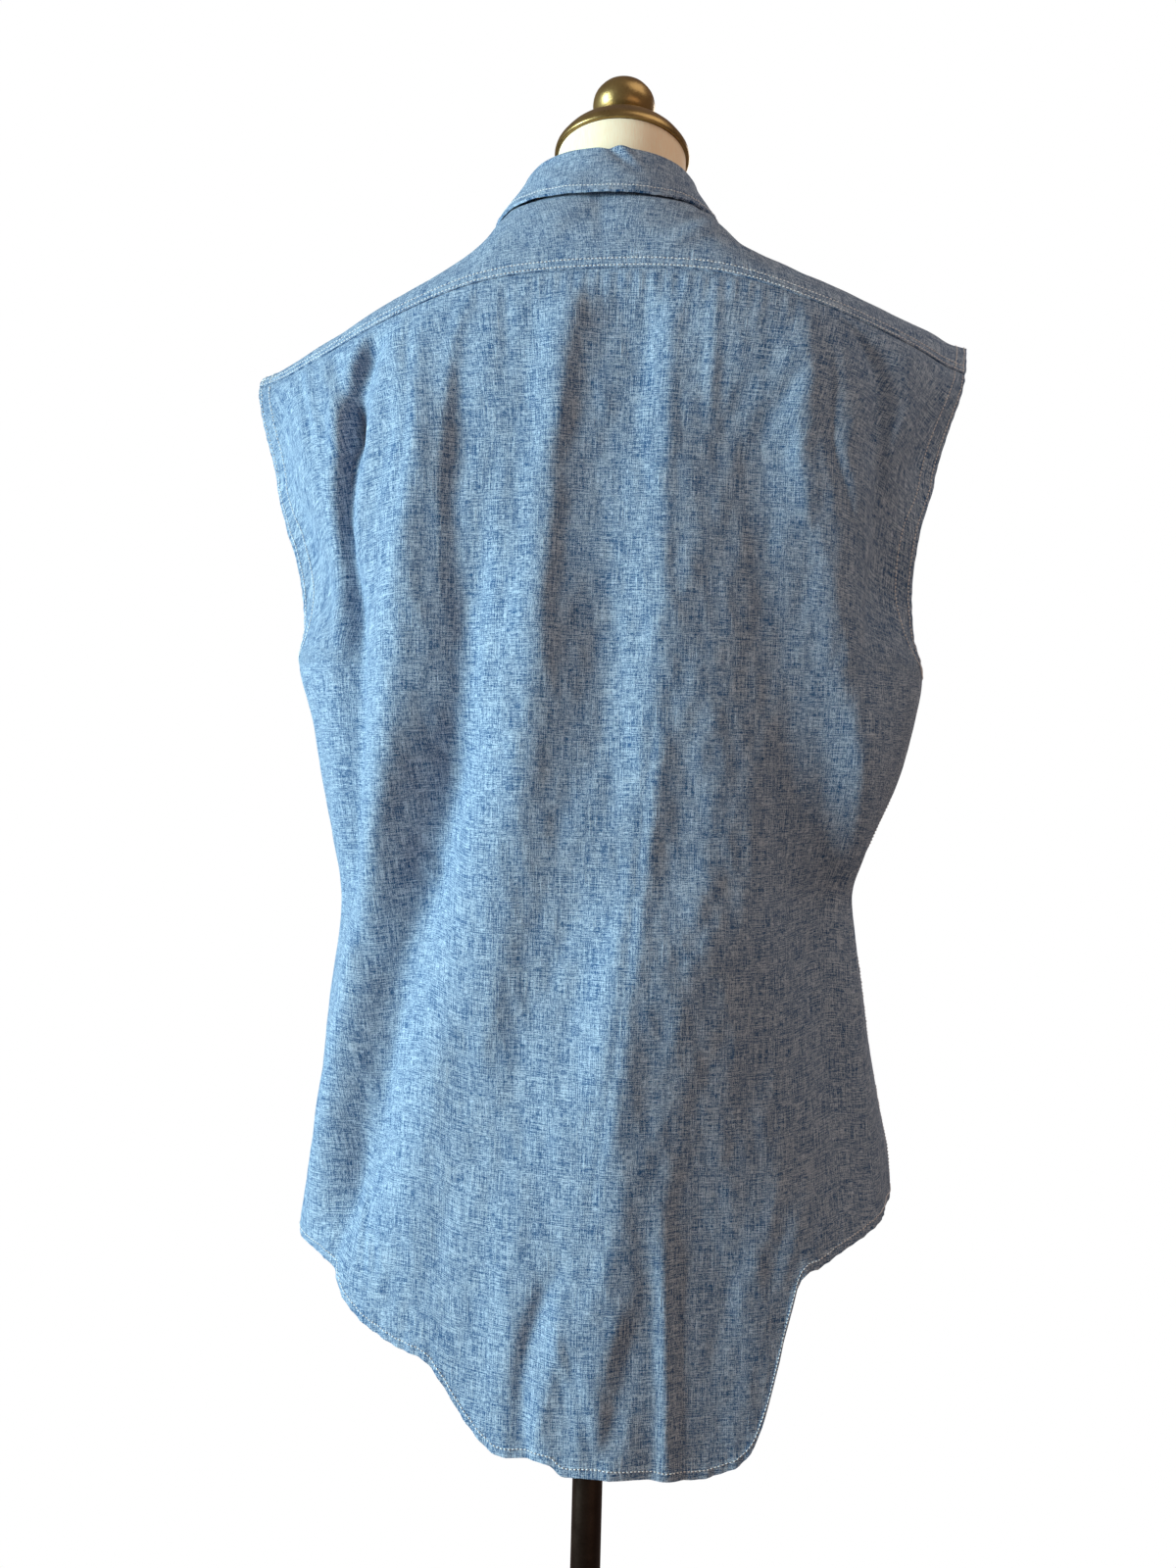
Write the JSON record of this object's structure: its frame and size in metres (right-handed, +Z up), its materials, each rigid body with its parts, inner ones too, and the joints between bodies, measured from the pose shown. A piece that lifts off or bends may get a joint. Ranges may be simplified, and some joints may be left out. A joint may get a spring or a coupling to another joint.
{
  "type": "sleeveless collared shirt on a dress form",
  "caption": "Button-front sleeveless work shirt with a collar, a back yoke and a shirt-tail hem, hung on a limbless dress form with a pole and a round foot.",
  "frame": {"origin": "middle of the foot's flat underside, on the floor", "axes": "+Z up along the pole, the shirt's front faces -Y, the wearer's left is +X"},
  "size_m": [0.4767, 0.35, 1.5406],
  "materials": {
    "chambray": "blue and white plain-weave chambray, matt",
    "button": "off-white, lightly polished",
    "form_cover": "cream jersey stretched smooth",
    "bronze": "dark olive bronze, polished",
    "iron": "dark bronze paint, satin"
  },
  "bodies": {
    "root": {"back_panel": "chambray", "front_left": "chambray", "front_right": "chambray", "yoke": "chambray", "collar_stand": "chambray", "collar_fall": "chambray", "placket": "chambray", "button_1": "button", "button_2": "button", "button_3": "button", "button_4": "button", "button_5": "button", "button_6": "button", "button_7": "button", "dress_form": "form_cover", "neck_cap": "bronze", "knob": "bronze", "flange": "iron", "pole": "iron", "foot": "iron"}
  },
  "joints": []
}
